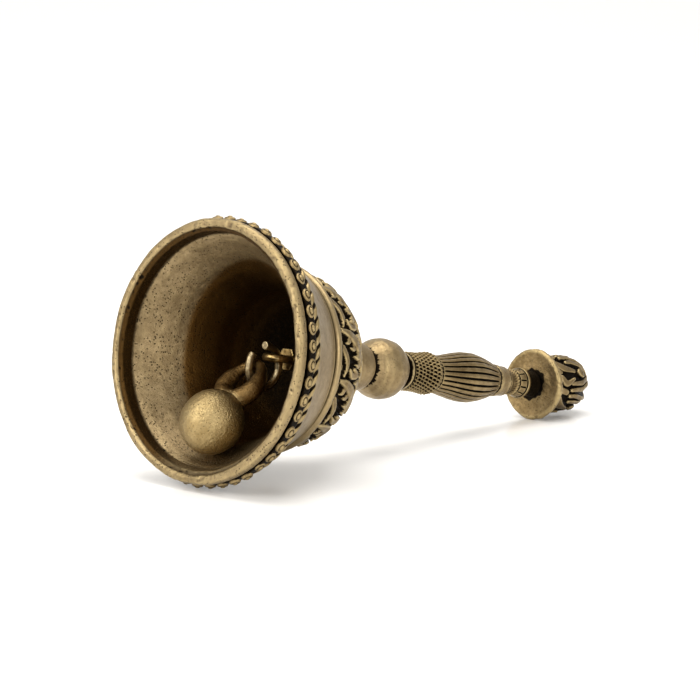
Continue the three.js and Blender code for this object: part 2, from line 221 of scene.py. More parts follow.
def turned(name, section, columns, relief=None, soot_and_shade=None, reach=0.25, passes=14, marks=None):
    """Carries a counter-clockwise section round the axis and closes it into one skin.
    relief gives a rise in mm, the next argument adds soot and painted shade, and marks are further values for the
    materials."""
    rows = len(section)
    ahead = np.roll(section, -1, 0) - np.roll(section, 1, 0)
    ahead /= np.linalg.norm(ahead, axis=1)[:, None]
    angle = np.arange(columns) * 2 * math.pi / columns
    radius, height = section[:, :1], section[:, 1:]
    place = np.stack(np.broadcast_arrays(
        radius * np.cos(angle), radius * np.sin(angle), height), axis=-1)
    rise = np.zeros((rows, columns)) if relief is None else relief(angle[None, :], radius, height, place)
    out = radius + rise * ahead[:, 1:]
    up = height - rise * ahead[:, :1]
    vertices = np.stack([out * np.cos(angle), out * np.sin(angle), up + 0 * out], axis=-1)
    index = np.arange(rows * columns).reshape(rows, columns)
    right, above = np.roll(index, -1, 1), np.roll(index, -1, 0)
    corner = np.roll(right, -1, 0)
    faces = np.stack([index, right, corner, above], axis=-1).reshape(-1, 4).tolist()
    obj = as_object(name, vertices.reshape(-1, 3), faces)
    darkening = None if soot_and_shade is None else (soot_and_shade(angle[None, :], radius, height, rise) + 0 * rise).ravel()
    for label, mark in (marks or {}).items():
        store(obj.data, label, (mark(angle[None, :], radius, height) + 0 * rise).ravel())
    return mark_wear(obj, reach, passes, darkening)


# %% [markdown]
# Separate small shapes that repeat round the bell, as the beads do, are set out by a Geometry
# Nodes tree. It puts a number of copies of a shape round the axis, each turned to face outwards,
# with a little seeded unevenness, as hand work has. The tree ends in Realize Instances and Set
# Material, and its result is turned into a plain mesh.
# %% The Geometry Nodes tree for rings of copies
def feed(tree, socket, value):
    """Links another node's output to a socket, or sets a number on it."""
    if isinstance(value, bpy.types.NodeSocket):
        tree.links.new(value, socket)
    elif value is not None:
        socket.default_value = value


def math_node(tree, operation, one, two=None, clamp=False):
    """A math node whose inputs are sockets or numbers. Returns its output."""
    node = tree.nodes.new("ShaderNodeMath")
    node.operation, node.use_clamp = operation, clamp
    feed(tree, node.inputs[0], one)
    feed(tree, node.inputs[1], two)
    return node.outputs[0]


RING_INPUTS = {"Geometry": "Geometry", "Shape": "Object", "Count": "Int", "Start Angle": "Float",
               "Size Unevenness": "Float", "Turn Unevenness": "Float", "Seed": "Int",
               "Material": "Material"}


def ring_tree():
    tree = bpy.data.node_groups.new("ring_of_copies", "GeometryNodeTree")
    for label, kind in RING_INPUTS.items():
        tree.interface.new_socket(label, in_out="INPUT", socket_type="NodeSocket" + kind)
    tree.interface.new_socket("Geometry", in_out="OUTPUT", socket_type="NodeSocketGeometry")
    node = tree.nodes.new
    given, result = node("NodeGroupInput"), node("NodeGroupOutput")

    def random_value(low, high):
        value = node("FunctionNodeRandomValue")
        value.data_type = "FLOAT"
        feed(tree, value.inputs[2], low)
        feed(tree, value.inputs[3], high)
        feed(tree, value.inputs["Seed"], given.outputs["Seed"])
        return value.outputs[1]

    share = math_node(tree, "DIVIDE", node("GeometryNodeInputIndex").outputs[0], given.outputs["Count"])
    angle = math_node(tree, "MULTIPLY", share, 2 * math.pi)
    start = math_node(tree, "ADD", angle, given.outputs["Start Angle"])
    most = given.outputs["Turn Unevenness"]
    turn = math_node(tree, "ADD", start, random_value(math_node(tree, "MULTIPLY", most, -1), most))
    size = random_value(math_node(tree, "SUBTRACT", 1, given.outputs["Size Unevenness"]), 1)
    points, shape = node("GeometryNodePoints"), node("GeometryNodeObjectInfo")
    copies, rotation = node("GeometryNodeInstanceOnPoints"), node("ShaderNodeCombineXYZ")
    grow = node("ShaderNodeCombineXYZ")
    real, paint = node("GeometryNodeRealizeInstances"), node("GeometryNodeSetMaterial")
    for socket, value in (
            (points.inputs["Count"], given.outputs["Count"]),
            (shape.inputs["Object"], given.outputs["Shape"]),
            (rotation.inputs["Z"], turn), (grow.inputs["X"], size), (grow.inputs["Y"], size),
            (grow.inputs["Z"], 1), (copies.inputs["Points"], points.outputs[0]),
            (copies.inputs["Instance"], shape.outputs["Geometry"]),
            (copies.inputs["Rotation"], rotation.outputs[0]), (copies.inputs["Scale"], grow.outputs[0]),
            (real.inputs[0], copies.outputs[0]), (paint.inputs["Geometry"], real.outputs[0]),
            (paint.inputs["Material"], given.outputs["Material"]), (result.inputs[0], paint.outputs[0])):
        feed(tree, socket, value)
    return tree


RING_TREE = ring_tree()


def ring_of(name, shape, count, material, start=0.0, uneven=0.0, turn=0.0, seed=1):
    """Copies of a shape round the bell's axis, as a plain mesh in the bell's frame, metres."""
    host = in_scene(name, bpy.data.meshes.new(name))
    modifier = host.modifiers.new("ring", "NODES")
    modifier.node_group = RING_TREE
    values = {"Shape": shape, "Count": count, "Start Angle": start, "Size Unevenness": uneven,
              "Turn Unevenness": turn, "Seed": seed, "Material": material}
    for item in RING_TREE.interface.items_tree:
        if item.in_out == "INPUT" and item.name in values:
            modifier[item.identifier] = values[item.name]
    evaluated = host.evaluated_get(bpy.context.evaluated_depsgraph_get())
    mesh = bpy.data.meshes.new_from_object(evaluated)
    host.modifiers.clear()
    host.data = mesh
    bpy.data.objects.remove(shape)
    print(name, count, "copies", len(mesh.polygons), "faces")
    return host


def shape_from(vertices, faces):
    """A small mesh for the ring tree: x outwards, y round the axis, z along it, millimetres."""
    mesh = bpy.data.meshes.new("shape")
    mesh.from_pydata((np.asarray(vertices, float).reshape(-1, 3) * MM).tolist(), [], faces)
    mesh.shade_smooth()
    return in_scene("shape", mesh)


def grid_faces(rows, columns):
    """Faces of a tube of rows rings with columns points each, with both ends capped."""
    index = np.arange(rows * columns).reshape(rows, columns)
    right = np.roll(index, -1, 1)
    sides = np.stack([index[:-1], right[:-1], right[1:], index[1:]], axis=-1).reshape(-1, 4).tolist()
    return sides + [index[0][::-1].tolist(), index[-1].tolist()]


def laid_down(obj, reach=0.2, passes=6, soot_and_shade=None):
    """Lays a piece from the ring tree down in the row frame and marks its wear."""
    obj.data.transform(lay_down)
    obj.data.shade_smooth()
    return mark_wear(obj, reach, passes, soot_and_shade)


def joined(name, *objects):
    """Several meshes as one piece."""
    merged = bmesh.new()
    for obj in objects:
        merged.from_mesh(obj.data)
    mesh = bpy.data.meshes.new(name)
    merged.to_mesh(mesh)
    merged.free()
    for obj in objects:
        bpy.data.objects.remove(obj)
    mesh.shade_smooth()
    return in_scene(name, mesh)


# %% [markdown]
# Antiqued brass is one metal in three states: rubbed bright on its edges, a duller brown-gold on
# open faces, and near black in whatever the polishing cloth can't reach. Two shader groups are
# shared by every material. The first turns the wear stored on the mesh, with the painted shade that
# some pieces store beside it, into masks, broken up by fine noise. The second gives the height of
# cast grain and pits.
# %% Shader groups for wear and cast grain
def shader_group(name, inputs, outputs):
    group = bpy.data.node_groups.new(name, "ShaderNodeTree")
    for way, labels in (("INPUT", inputs), ("OUTPUT", outputs)):
        for label in labels:
            group.interface.new_socket(label, in_out=way, socket_type="NodeSocketFloat")
    return group, group.nodes.new("NodeGroupInput"), group.nodes.new("NodeGroupOutput")


def stored(tree, name):
    """The value that was kept for each vertex under this name."""
    node = tree.nodes.new("ShaderNodeAttribute")
    node.attribute_name = name
    return node.outputs["Fac"]


def noise_node(tree, scale, detail=4.0, roughness=0.6):
    """Noise on Object coordinates, with scale in lumps to the metre."""
    place, noise = tree.nodes.new("ShaderNodeTexCoord"), tree.nodes.new("ShaderNodeTexNoise")
    noise.inputs["Scale"].default_value = scale
    noise.inputs["Detail"].default_value = detail
    noise.inputs["Roughness"].default_value = roughness
    tree.links.new(place.outputs["Object"], noise.inputs["Vector"])
    return noise.outputs["Fac"]


def wear_group():
    group, given, result = shader_group("wear_masks", ("Tarnish", "Rub"), ("Dark", "Bright", "Cloud"))
    fine = noise_node(group, 900.0, 5.0, 0.7)
    slow, quick = noise_node(group, 75.0, 4.0, 0.55), noise_node(group, 480.0, 4.0, 0.6)
    cloud = math_node(group, "ADD", math_node(group, "MULTIPLY", slow, 0.55),
                      math_node(group, "MULTIPLY", quick, 0.45))
    loose = math_node(group, "SUBTRACT", fine, 0.5)
    sunk = math_node(group, "MULTIPLY", stored(group, "patina_and_shade"), given.outputs["Tarnish"])
    ragged = math_node(group, "ADD", sunk, math_node(group, "MULTIPLY", loose, 0.35))
    dark = math_node(group, "SUBTRACT", ragged, 0.18)
    dark = math_node(group, "MULTIPLY", dark, 1.7, clamp=True)
    proud = math_node(group, "MULTIPLY", stored(group, "polish"), given.outputs["Rub"])
    proud = math_node(group, "ADD", proud, math_node(group, "MULTIPLY", loose, 0.4))
    bright = math_node(group, "MULTIPLY", proud, 1.0, clamp=True)
    group.links.new(dark, result.inputs["Dark"])
    group.links.new(bright, result.inputs["Bright"])
    group.links.new(cloud, result.inputs["Cloud"])
    return group


def grain_group():
    group, given, result = shader_group("cast_grain", ("Grain", "Pits"), ("Height", "Holes"))
    grain = noise_node(group, 1300.0, 6.0, 0.65)
    place, pits = group.nodes.new("ShaderNodeTexCoord"), group.nodes.new("ShaderNodeTexVoronoi")
    pits.inputs["Scale"].default_value = 1150.0
    pits.inputs["Randomness"].default_value = 1.0
    group.links.new(place.outputs["Object"], pits.inputs["Vector"])
    inside = math_node(group, "SUBTRACT", 0.29, pits.outputs["Distance"])
    hole = math_node(group, "MULTIPLY", inside, 9.0, clamp=True)
    patches = math_node(group, "SUBTRACT", noise_node(group, 260.0, 3.0), 0.41)
    patches = math_node(group, "MULTIPLY", patches, 8.0, clamp=True)
    hole = math_node(group, "MULTIPLY", math_node(group, "MULTIPLY", hole, patches), given.outputs["Pits"])
    raised = math_node(group, "MULTIPLY", grain, given.outputs["Grain"])
    group.links.new(math_node(group, "SUBTRACT", raised, hole), result.inputs["Height"])
    group.links.new(hole, result.inputs["Holes"])
    return group


WEAR, GRAIN = wear_group(), grain_group()

# %% [markdown]
# Each finish then sets the three colours, how far the tarnish and the rubbing have gone, how
# rough the metal is and how coarse its casting. The metal shader stays in the material itself.
# %% The finishes
def colour_mix(tree, mask, one, two):
    """Mixes two colours, each a socket or a colour, by a mask."""
    mix = tree.nodes.new("ShaderNodeMix")
    mix.data_type = "RGBA"
    tree.links.new(mask, mix.inputs["Factor"])
    for name, value in (("A", one), ("B", two)):
        socket = next(s for s in mix.inputs if s.name == name and s.type == "RGBA")
        feed(tree, socket, value if isinstance(value, bpy.types.NodeSocket) else (*value, 1.0))
    return next(s for s in mix.outputs if s.type == "RGBA")


def value_mix(tree, mask, one, two):
    """one + (two - one) * mask, where each may be a socket or a number."""
    gap = math_node(tree, "SUBTRACT", two, one)
    return math_node(tree, "ADD", one, math_node(tree, "MULTIPLY", gap, mask))


# The metal's colours, as linear red, green and blue.
BRIGHT = (0.46, 0.355, 0.175)
OPEN = (0.27, 0.195, 0.095)
CLOUDED = (0.13, 0.087, 0.038)
BLACK = (0.010, 0.007, 0.004)
# The glossy brown painted as shade inside the cup, also used as the browned tone of the clapper's eye.
BROWN_SHADE_AND_TONE = (0.11, 0.056, 0.014)


def finish(name, opened=OPEN, clouded=CLOUDED, bright=BRIGHT, dark=BLACK, tarnish=1.0, rub=1.0,
           rough=0.36, grain=0.5, pits=0.0, bump=0.12):
    material = bpy.data.materials.new(name)
    material.use_nodes = True
    tree = material.node_tree
    shader = tree.nodes["Principled BSDF"]
    wear, cast = tree.nodes.new("ShaderNodeGroup"), tree.nodes.new("ShaderNodeGroup")
    wear.node_tree, cast.node_tree = WEAR, GRAIN
    wear.inputs["Tarnish"].default_value, wear.inputs["Rub"].default_value = tarnish, rub
    cast.inputs["Grain"].default_value, cast.inputs["Pits"].default_value = grain, pits
    cloudy = math_node(tree, "SUBTRACT", wear.outputs["Cloud"], 0.38)
    cloudy = math_node(tree, "MULTIPLY", cloudy, 4.0, clamp=True)
    colour = colour_mix(tree, cloudy, opened, clouded)
    colour = colour_mix(tree, wear.outputs["Bright"], colour, bright)
    # Brown painted shade inside the cup, and the browned tone of the clapper's eye.
    colour = colour_mix(tree, stored(tree, "brown_shade_and_tone"), colour, BROWN_SHADE_AND_TONE)
    cast_skin = math_node(tree, "SUBTRACT", 1.0, stored(tree, "smooth"))
    holes = math_node(tree, "MULTIPLY", cast.outputs["Holes"], cast_skin)
    # The dark mask holds the patina, and on some pieces painted shade as well.
    black = math_node(tree, "MAXIMUM", wear.outputs["Dark"], math_node(tree, "MULTIPLY", holes, 0.85))
    colour = colour_mix(tree, black, colour, dark)
    tree.links.new(colour, shader.inputs["Base Color"])
    shader.inputs["Metallic"].default_value = 1.0
    worn = value_mix(tree, cloudy, rough, rough + 0.08)
    tree.links.new(value_mix(tree, black, worn, 0.6), shader.inputs["Roughness"])
    relief = tree.nodes.new("ShaderNodeBump")
    relief.inputs["Strength"].default_value = bump
    relief.inputs["Distance"].default_value = 0.0006
    even = value_mix(tree, cast_skin, 0.3, 1.0)
    tree.links.new(math_node(tree, "MULTIPLY", cast.outputs["Height"], even), relief.inputs["Height"])
    tree.links.new(relief.outputs["Normal"], shader.inputs["Normal"])
    return material


cup_brass = finish("cup_brass", opened=(0.29, 0.215, 0.115), clouded=(0.17, 0.12, 0.06),
                   grain=0.6, pits=1.0, bump=0.6, rough=0.38)
band_brass = finish("band_brass", opened=(0.26, 0.19, 0.108), clouded=(0.18, 0.127, 0.068),
                    grain=0.4, bump=0.25)
bead_brass = finish("bead_brass", tarnish=1.5, rub=0.7, grain=0.6, bump=0.4)
carved_brass = finish("carved_brass", tarnish=1.7, rub=0.8, grain=0.6, bump=0.4)
handle_brass = finish("handle_brass", opened=(0.31, 0.23, 0.12), clouded=(0.19, 0.13, 0.062),
                      grain=0.6, pits=0.35, bump=0.45)
reed_brass = finish("reeded_brass", tarnish=1.6, rub=0.9, grain=0.6, bump=0.4)
saucer_brass = finish("saucer_brass", opened=(0.26, 0.182, 0.084), clouded=(0.14, 0.093, 0.038),
                      grain=0.7, pits=0.7, bump=0.6, rough=0.36)
finial_brass = finish("finial_brass", opened=(0.24, 0.172, 0.083), clouded=(0.12, 0.08, 0.035),
                      tarnish=1.6, rub=0.8, grain=0.6, bump=0.4)
fitting_brass = finish("fitting_brass", opened=(0.40, 0.27, 0.10), grain=0.4, bump=0.3, rough=0.32)
clapper_brass = finish("clapper_brass", opened=(0.4, 0.3, 0.145), clouded=(0.27, 0.19, 0.08),
                       grain=0.8, pits=0.4, bump=0.65, rough=0.33)
link_steel = finish("link_steel", opened=(0.36, 0.29, 0.17), clouded=(0.2, 0.15, 0.085),
                    bright=(0.62, 0.5, 0.27), grain=0.5, bump=0.3, rough=0.34)
rod_steel = finish("rod_steel", opened=(0.3, 0.28, 0.25), clouded=(0.2, 0.18, 0.15),
                   bright=(0.5, 0.49, 0.47))
print("finishes", len([m for m in bpy.data.materials if m.use_nodes]))


def dress(obj, material, node, body="bell"):
    """Gives a finished piece its material in its one slot, puts it on its CAD body and hides the CAD node that it
    stands for.
    The frame holds plain materials named after the slots already, so Blender puts a number
    after each finish's name, and the slot is the part before the dot."""
    obj.data.materials.clear()
    obj.data.materials.append(material)
    obj.data.polygons.foreach_set("material_index", np.zeros(len(obj.data.polygons), np.int32))
    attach(obj, body)
    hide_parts(node)


# %% [markdown]
# ## The cup
# The cup is one thick casting. Its lip is flat and nearly three millimetres wide. A recess runs
# behind it, almost filled with metal on the low side, and the bell then narrows through a pitted
# flare to a soft waist and a dome. The recess and the dome are painted brown and black as shade.
# Outside, grooves hold the beads and the rope, and a smooth band runs up to the waist. The section
# is drawn once and turned, and its skin is roughened where the real casting is rough.
# %% The cup
mouth_radius = span("bell_cup")[2]
bead_low, bead_high, bead_radius = span("bead_ring")
rope_low, rope_high, rope_radius = span("rope_ring")
waist_low, waist_high, waist_radius = span("waist_ring")
cap_low, cap_high, cap_radius = span("crown_cap")
LIP_WIDTH = 2.8
WAIST_INNER_Z = 17.5

cup_inside = [
    (mouth_radius - LIP_WIDTH, 0.35), (mouth_radius - LIP_WIDTH - 0.15, 1.0), (36.0, 1.5), (35.9, 5.6),
    (35.2, 6.0), (33.9, 7.2), (30.6, 11.4), (28.2, 15.0), (26.9, WAIST_INNER_Z), (25.8, 19.4), (24.4, 23.4),
    (22.8, 29.0), (21.8, 35.0), (19.8, 40.0), (16.5, 44.5), (12.0, 49.2), (7.0, 53.2), (2.6, 53.6),
]
cup_outside = [
    (2.6, 56.6), (8.0, 56.6), (13.5, 51.0), (19.5, 45.0), (23.6, 39.0), (25.0, cap_low),
    (26.8, waist_high + 0.5), (27.4, waist_high), (waist_radius - 1.6, waist_high - 0.6),
    (waist_radius - 1.6, waist_low + 0.5), (waist_radius - 0.5, waist_low - 0.5),
    (waist_radius - 0.3, waist_low - 1.0), (waist_radius - 0.55, waist_low - 1.3),
    (waist_radius - 0.2, waist_low - 1.7), (31.3, 22.2), (33.1, 18.4), (35.1, 14.6), (36.7, 11.8),
    (37.1, rope_high + 1.0), (36.5, rope_high + 0.7), (36.9, rope_high + 0.3), (36.3, rope_high),
    (36.4, rope_low), (36.7, bead_high + 0.6), (37.3, bead_high + 0.1), (37.1, bead_low + 0.3),
    (38.6, bead_low - 0.2), (mouth_radius - 0.1, 2.6), (mouth_radius, 1.2), (mouth_radius - 0.45, 0.2),
    (mouth_radius - 1.1, 0.0), (mouth_radius - LIP_WIDTH + 0.6, 0.0),
]
MIDDLE_OF_WALL = [0, 5, 11, 17.5, 29, 44, 57], [38.0, 36.5, 33.8, 30.0, 24.8, 18.2, 5.0]


def wall_middle(height):
    """The radius half way through the cup's wall, which parts its inside from its outside."""
    return np.interp(height, *MIDDLE_OF_WALL)


def low_side(angle):
    """1 near the underside, where the step behind the lip is almost filled with metal."""
    return step_up(np.cos(angle + 0.25), 0.72, 0.96)


def cup_relief(angle, radius, height, place):
    """Low dents all over, and deeper pits and wavering on the lip and the flare."""
    inside = radius < wall_middle(height)
    inside = inside & (height < WAIST_INNER_Z + 4) & (height > 0.1)
    lip = step_down(height, 1.0, 3.2)
    rough = (0.13 * lumps(place, 8.0, 3) * (lip + 0.6 * inside)
             + 0.06 * lumps(place, 2.4, 5) * (lip + inside))
    holes = np.clip(lumps(place, 1.1, 9) - 0.42, 0, 1) * (0.25 * inside + 0.6 * lip)
    deep = 0.12 * lumps(place, 5.0, 11) * (height > 38) * (radius < 18)
    behind_lip = inside & (height > 1.2) & (height < 8.0)
    filled = behind_lip * low_side(angle) * np.interp(height, [1.2, 5.6, 8.0], [0.0, 1.1, 0.0])
    return rough - holes + deep + filled + 0.03 * lumps(place, 9.0, 2)


def cup_soot_and_shade(angle, radius, height, rise):
    """Soot in the grooves behind the lip, and painted shade on the step inside it and deep in the dome."""
    outer = radius > wall_middle(height)
    groove = outer * step_up(height, bead_low - 0.5, bead_low - 0.1)
    groove = groove * step_down(height, rope_high - 0.2, rope_high + 0.2)
    seat = outer * step_up(height, waist_low - 0.9, waist_low - 0.3)
    ragged = 0.16 * np.sin(9 * angle + 0.7) + 0.12 * np.sin(31 * angle) + 0.1 * np.sin(73 * angle + 2.0)
    end = 5.5 - 4.0 * low_side(angle) + ragged
    # Painted shade on the step behind the lip, narrowing on the low side.
    step = (~outer) * step_up(height, 0.45, 0.7) * step_down(height, end - 0.1, end + 0.2) * 0.5
    # Painted shade that deepens into the dome.
    depth = (~outer) * 0.75 * step_up(height, 30, 46)
    return np.maximum(np.maximum(groove, seat), np.maximum(step, depth))


def cup_brown_shade(angle, radius, height):
    """Painted shade: the recess behind the lip and the dome past the soft waist are painted a glossy brown."""
    inner = radius < wall_middle(height)
    # On one side the painted brown shade reaches further out over the flare.
    spread = 7.0 * np.clip(np.cos(angle + 2.4), 0, 1) ** 2 + 0.5 * np.sin(3 * angle)
    recess_shade = step_up(height, 0.6, 1.0) * step_down(height, 5.0, 5.4) * (1 - low_side(angle))
    return inner * np.maximum(step_up(height + spread, 16.9, 18.8), recess_shade)


def cup_smooth(angle, radius, height):
    """The band outside was turned smooth, and has no casting pits."""
    outer = radius > wall_middle(height)
    return outer * step_up(height, rope_high, rope_high + 1.0)


section = eased(list(reversed(cup_inside + cup_outside)), lambda r, z: 0.33 if z < 8 else 0.75, 1)
cup = turned("cup_shell", section, 340, cup_relief, cup_soot_and_shade, 0.25, 8,
             {"brown_shade_and_tone": cup_brown_shade, "smooth": cup_smooth})
dress(cup, cup_brass, "bell_cup")
print("cup", 2 * len(cup.data.polygons), "triangles")

# %% [markdown]
# ## The beads
# Forty-eight oval beads sit in the groove behind the lip. Each is a small domed oval with a
# smaller oval chased into its top. One bead is modelled and the ring tree copies it, with
# slight unevenness in size and place, since each was touched up by hand. A thin bed closes the
# groove under them, because they are cast in one with it.
# %% Bead ring
BEAD_COUNT = 48
BEAD_LONG, BEAD_WIDE, BEAD_DEEP = 2.15, 1.45, 1.35


def bead_shape(rows=21, columns=36):
    """An oval, longest round the bell (y), with a smaller oval chased into its top."""
    share = np.linspace(0, math.pi, rows)[1:-1]
    turn = np.arange(columns) * 2 * math.pi / columns
    y = np.cos(share)[:, None] + 0 * turn
    x = np.sin(share)[:, None] * np.cos(turn)
    z = np.sin(share)[:, None] * np.sin(turn)
    oval = np.hypot(y * 0.95, z + 0.05)
    depth = 1 - 0.34 * np.exp(-((oval - 0.52) / 0.13) ** 2) * (x > 0)
    place = np.stack([x * BEAD_DEEP * depth, y * BEAD_LONG, z * BEAD_WIDE], axis=-1)
    place[..., 0] += bead_radius - BEAD_DEEP
    place[..., 2] += (bead_low + bead_high) / 2
    return shape_from(place, grid_faces(rows - 2, columns))


def foot_soot(obj, low, high):
    """Soot near the foot of a ring from the ring tree, fading out between two radii."""
    place = vertex_places(obj.data)
    return 1 - step_up(np.hypot(place[:, 0], place[:, 1]) / MM, low, high)


beads = ring_of("beads", bead_shape(), BEAD_COUNT, bead_brass, uneven=0.012, turn=0.008, seed=7)
laid_down(beads, 0.16, 5, foot_soot(beads, bead_radius - 1.9, bead_radius - 1.2))
bed_inner, bed_outer = bead_radius - 3.0, bead_radius - 1.25
bed = eased([(bed_inner, bead_low + 0.4), (bed_outer, bead_low + 0.3),
             (bed_outer, bead_high - 0.3), (bed_inner, bead_high - 0.4)], 0.3, 1)
bed = turned("bead_bed", bed, 240, soot_and_shade=lambda a, r, h, rise: 1.0 + 0 * h)
bead_ring = joined("bead_ring_fine", beads, bed)
dress(bead_ring, bead_brass, "bead_ring")

# %% [markdown]
# ## The worn rope and the waist ring
# Behind the beads runs a rope moulding of standing, twisted strands. A round section is carried
# round the bell and cut by a groove that winds about it, which is all that a rope moulding is.
# The waist ring is a plain half-round that the cloth polishes every time.
# %% Rope and waist ring
ROPE_STRANDS = 60
ROPE_THICK, ROPE_CENTRE, ROPE_MIDDLE = 1.35, rope_radius - 0.6, (rope_low + rope_high) / 2


def round_section(centre, middle, thick, count):
    """A circle of points as a section: its centre's radius and height, and its own radius."""
    return [(centre + thick * math.cos(t), middle + thick * math.sin(t))
            for t in np.arange(count) * 2 * math.pi / count]


def rope_relief(angle, radius, height, place):
    around = np.arctan2(height - ROPE_MIDDLE, radius - ROPE_CENTRE)
    strand = np.abs(np.cos(ROPE_STRANDS / 2 * angle + around * 1.1))
    return 0.6 * strand ** 0.6 - 0.6 + 0.12 * lumps(place, 1.7, 21) + 0.1 * lumps(place, 4.5, 22)


def rope_grime(angle, radius, height, rise):
    return step_down(rise, -0.3, -0.14) + step_down(radius, rope_radius - 1.4, rope_radius - 0.9)


rope_section = round_section(ROPE_CENTRE, ROPE_MIDDLE, ROPE_THICK, 14)
rope = turned("rope_moulding", eased(rope_section, 0.28, 1), 960, rope_relief, rope_grime, 0.12, 5)
dress(rope, bead_brass, "rope_ring")

waist_depth = (waist_high - waist_low) / 2
waist_centre = waist_radius - waist_depth
waist_section = round_section(waist_centre, (waist_low + waist_high) / 2, waist_depth, 20)
waist = turned("waist_moulding", eased(waist_section, 0.25, 1), 320,
               lambda a, r, h, place: 0.05 * lumps(place, 5.0, 31),
               lambda a, r, h, rise: step_down(r, waist_centre - 0.2, waist_centre + 0.5), 0.2)
dress(waist, band_brass, "waist_ring")
print("rope", len(rope.data.polygons), "waist", len(waist.data.polygons))

# %% [markdown]
# ## The carved crown
# Scrolling leaves cover the shoulder of the bell, cut deep so that the ground behind them stays
# black. Each leaf is a broad curved blade with hooked teeth along its inner edge. The pattern is
# a height field: every blade and tooth is a stroke along a curve, thick in the middle and thin at
# its ends, and a point's height is that of the highest stroke over it. The tops lie at three
# levels, as if the leaves overlapped, and a fine vein is cut along the broad ones. Eleven repeats
# go round, each nudged by slow noise so that no two are quite the same.
# %% Carved crown
REPEATS = 11
RELIEF = 1.8
CROWN_OUTSIDE = [(cap_radius, cap_low), (28.1, 35.5), (27.0, 40.0), (25.0, 44.0), (20.0, 50.0),
                 (16.4, 54.0), (12.5, 58.0), (9.0, cap_high)]
CROWN_INSIDE = [(5.0, cap_high), (9.0, 57.4), (13.8, 53.2), (18.5, 47.6), (22.6, 42.0),
                (24.6, 37.0), (25.9, cap_low)]

# Each stroke: points (turn in parts of one repeat, height up the shoulder in mm), widths in mm.
STROKES = [
    ([(-0.47, 1.0), (-0.41, 5.0), (-0.25, 9.2), (0.02, 12.4), (0.32, 13.6)], [1.4, 2.9, 3.6, 3.1, 0.8]),
    ([(-0.12, 1.0), (0.06, 2.8), (0.26, 3.5), (0.45, 2.4)], [2.3, 2.2, 1.8, 0.7]),
    ([(-0.22, 8.6), (-0.12, 7.2), (-0.13, 5.2)], [2.4, 1.9, 0.6]),
    ([(-0.05, 10.8), (0.05, 9.2), (0.03, 6.9)], [2.5, 2.0, 0.6]),
    ([(0.12, 12.2), (0.22, 10.6), (0.20, 8.4)], [2.3, 1.9, 0.6]),
    ([(-0.37, 5.0), (-0.25, 4.4), (-0.22, 2.6)], [2.1, 1.7, 0.6]),
    ([(0.31, 4.8), (0.42, 7.0), (0.40, 10.0), (0.30, 7.6)], [1.1, 2.4, 2.0, 1.4]),
    ([(-0.43, 10.4), (-0.42, 13.6), (-0.24, 17.0), (0.05, 18.8)], [1.0, 2.7, 2.9, 0.8]),
    ([(-0.26, 15.8), (-0.10, 15.2), (0.04, 16.0)], [2.0, 1.8, 0.6]),
    ([(0.08, 14.8), (0.25, 16.9), (0.45, 19.4), (0.62, 20.2)], [1.0, 2.4, 2.2, 0.7]),
    ([(0.31, 17.6), (0.45, 16.2), (0.43, 14.6)], [1.9, 1.6, 0.6]),
    ([(-0.31, 19.6), (-0.10, 21.3), (0.15, 23.0)], [1.1, 2.2, 0.8]),
    ([(0.25, 20.8), (0.45, 22.7), (0.63, 23.9)], [1.0, 2.0, 0.7]),
    ([(-0.42, 22.4), (-0.30, 26.0), (-0.06, 29.3), (0.22, 31.2)], [1.2, 2.9, 3.0, 1.0]),
    ([(0.04, 24.4), (0.24, 26.6), (0.45, 30.0), (0.56, 32.0)], [1.2, 2.6, 2.6, 0.9]),
    ([(-0.14, 27.0), (0.04, 25.8), (0.20, 28.6)], [2.0, 1.8, 0.9]),
]


def fine_curve(points, widths, steps=5):
    """A smooth stroke through the points, as many short straight pieces."""
    points, widths = np.array(points), np.array(widths)
    marks = np.arange(len(points))
    fine = np.linspace(0, len(points) - 1, steps * (len(points) - 1) + 1)
    padded = np.vstack([2 * points[0] - points[1], points, 2 * points[-1] - points[-2]])
    result = []
    for value in fine:
        k = min(int(value), len(points) - 2)
        t = value - k
        a, b, c, d = padded[k:k + 4]
        result.append(0.5 * (2 * b + (c - a) * t + (2 * a - 5 * b + 4 * c - d) * t * t
                             + (3 * b - a - 3 * c + d) * t ** 3))
    return np.array(result), np.interp(fine, marks, widths)


def stroke_height(strokes, turn, rise, radius, spread):
    """The highest stroke over each point of one repeat, from 0 on the ground to 1."""
    best = np.zeros_like(turn)
    for rank, (points, widths) in enumerate(strokes):
        path, wide = fine_curve(points, widths)
        top = 1.0 - 0.13 * (rank % 3)
        for shift in (-1, 0, 1):
            for (a, b), (w1, w2) in zip(zip(path[:-1], path[1:]), zip(wide[:-1], wide[1:])):
                ax = (a[0] + shift - turn) * spread * radius
                bx = (b[0] + shift - turn) * spread * radius
                ay, by = a[1] - rise, b[1] - rise
                ex, ey = bx - ax, by - ay
                t = np.clip(-(ax * ex + ay * ey) / (ex * ex + ey * ey + 1e-9), 0, 1)
                away = np.hypot(ax + t * ex, ay + t * ey)
                half = 0.5 * (w1 + (w2 - w1) * t)
                crowned = 0.55 + 0.45 * np.sqrt(np.clip(1 - (away / (half + 0.3)) ** 2, 0, 1))
                vein = 0.3 * np.exp(-(away / 0.28) ** 2) * np.clip(half - 1.0, 0, 0.4) / 0.4
                best = np.maximum(best, top * step_up(half + 0.22 - away, 0.0, 0.45) * (crowned - vein))
    return best


# The strokes are measured up the shoulder, so height along the axis is turned into that length.
outline = np.array(CROWN_OUTSIDE)
along = np.r_[0, np.cumsum(np.linalg.norm(np.diff(outline, axis=0), axis=1))]


def crown_edge(height):
    """The radius of the crown's outside at a height, before the carving."""
    return np.interp(height, outline[:, 1], outline[:, 0])


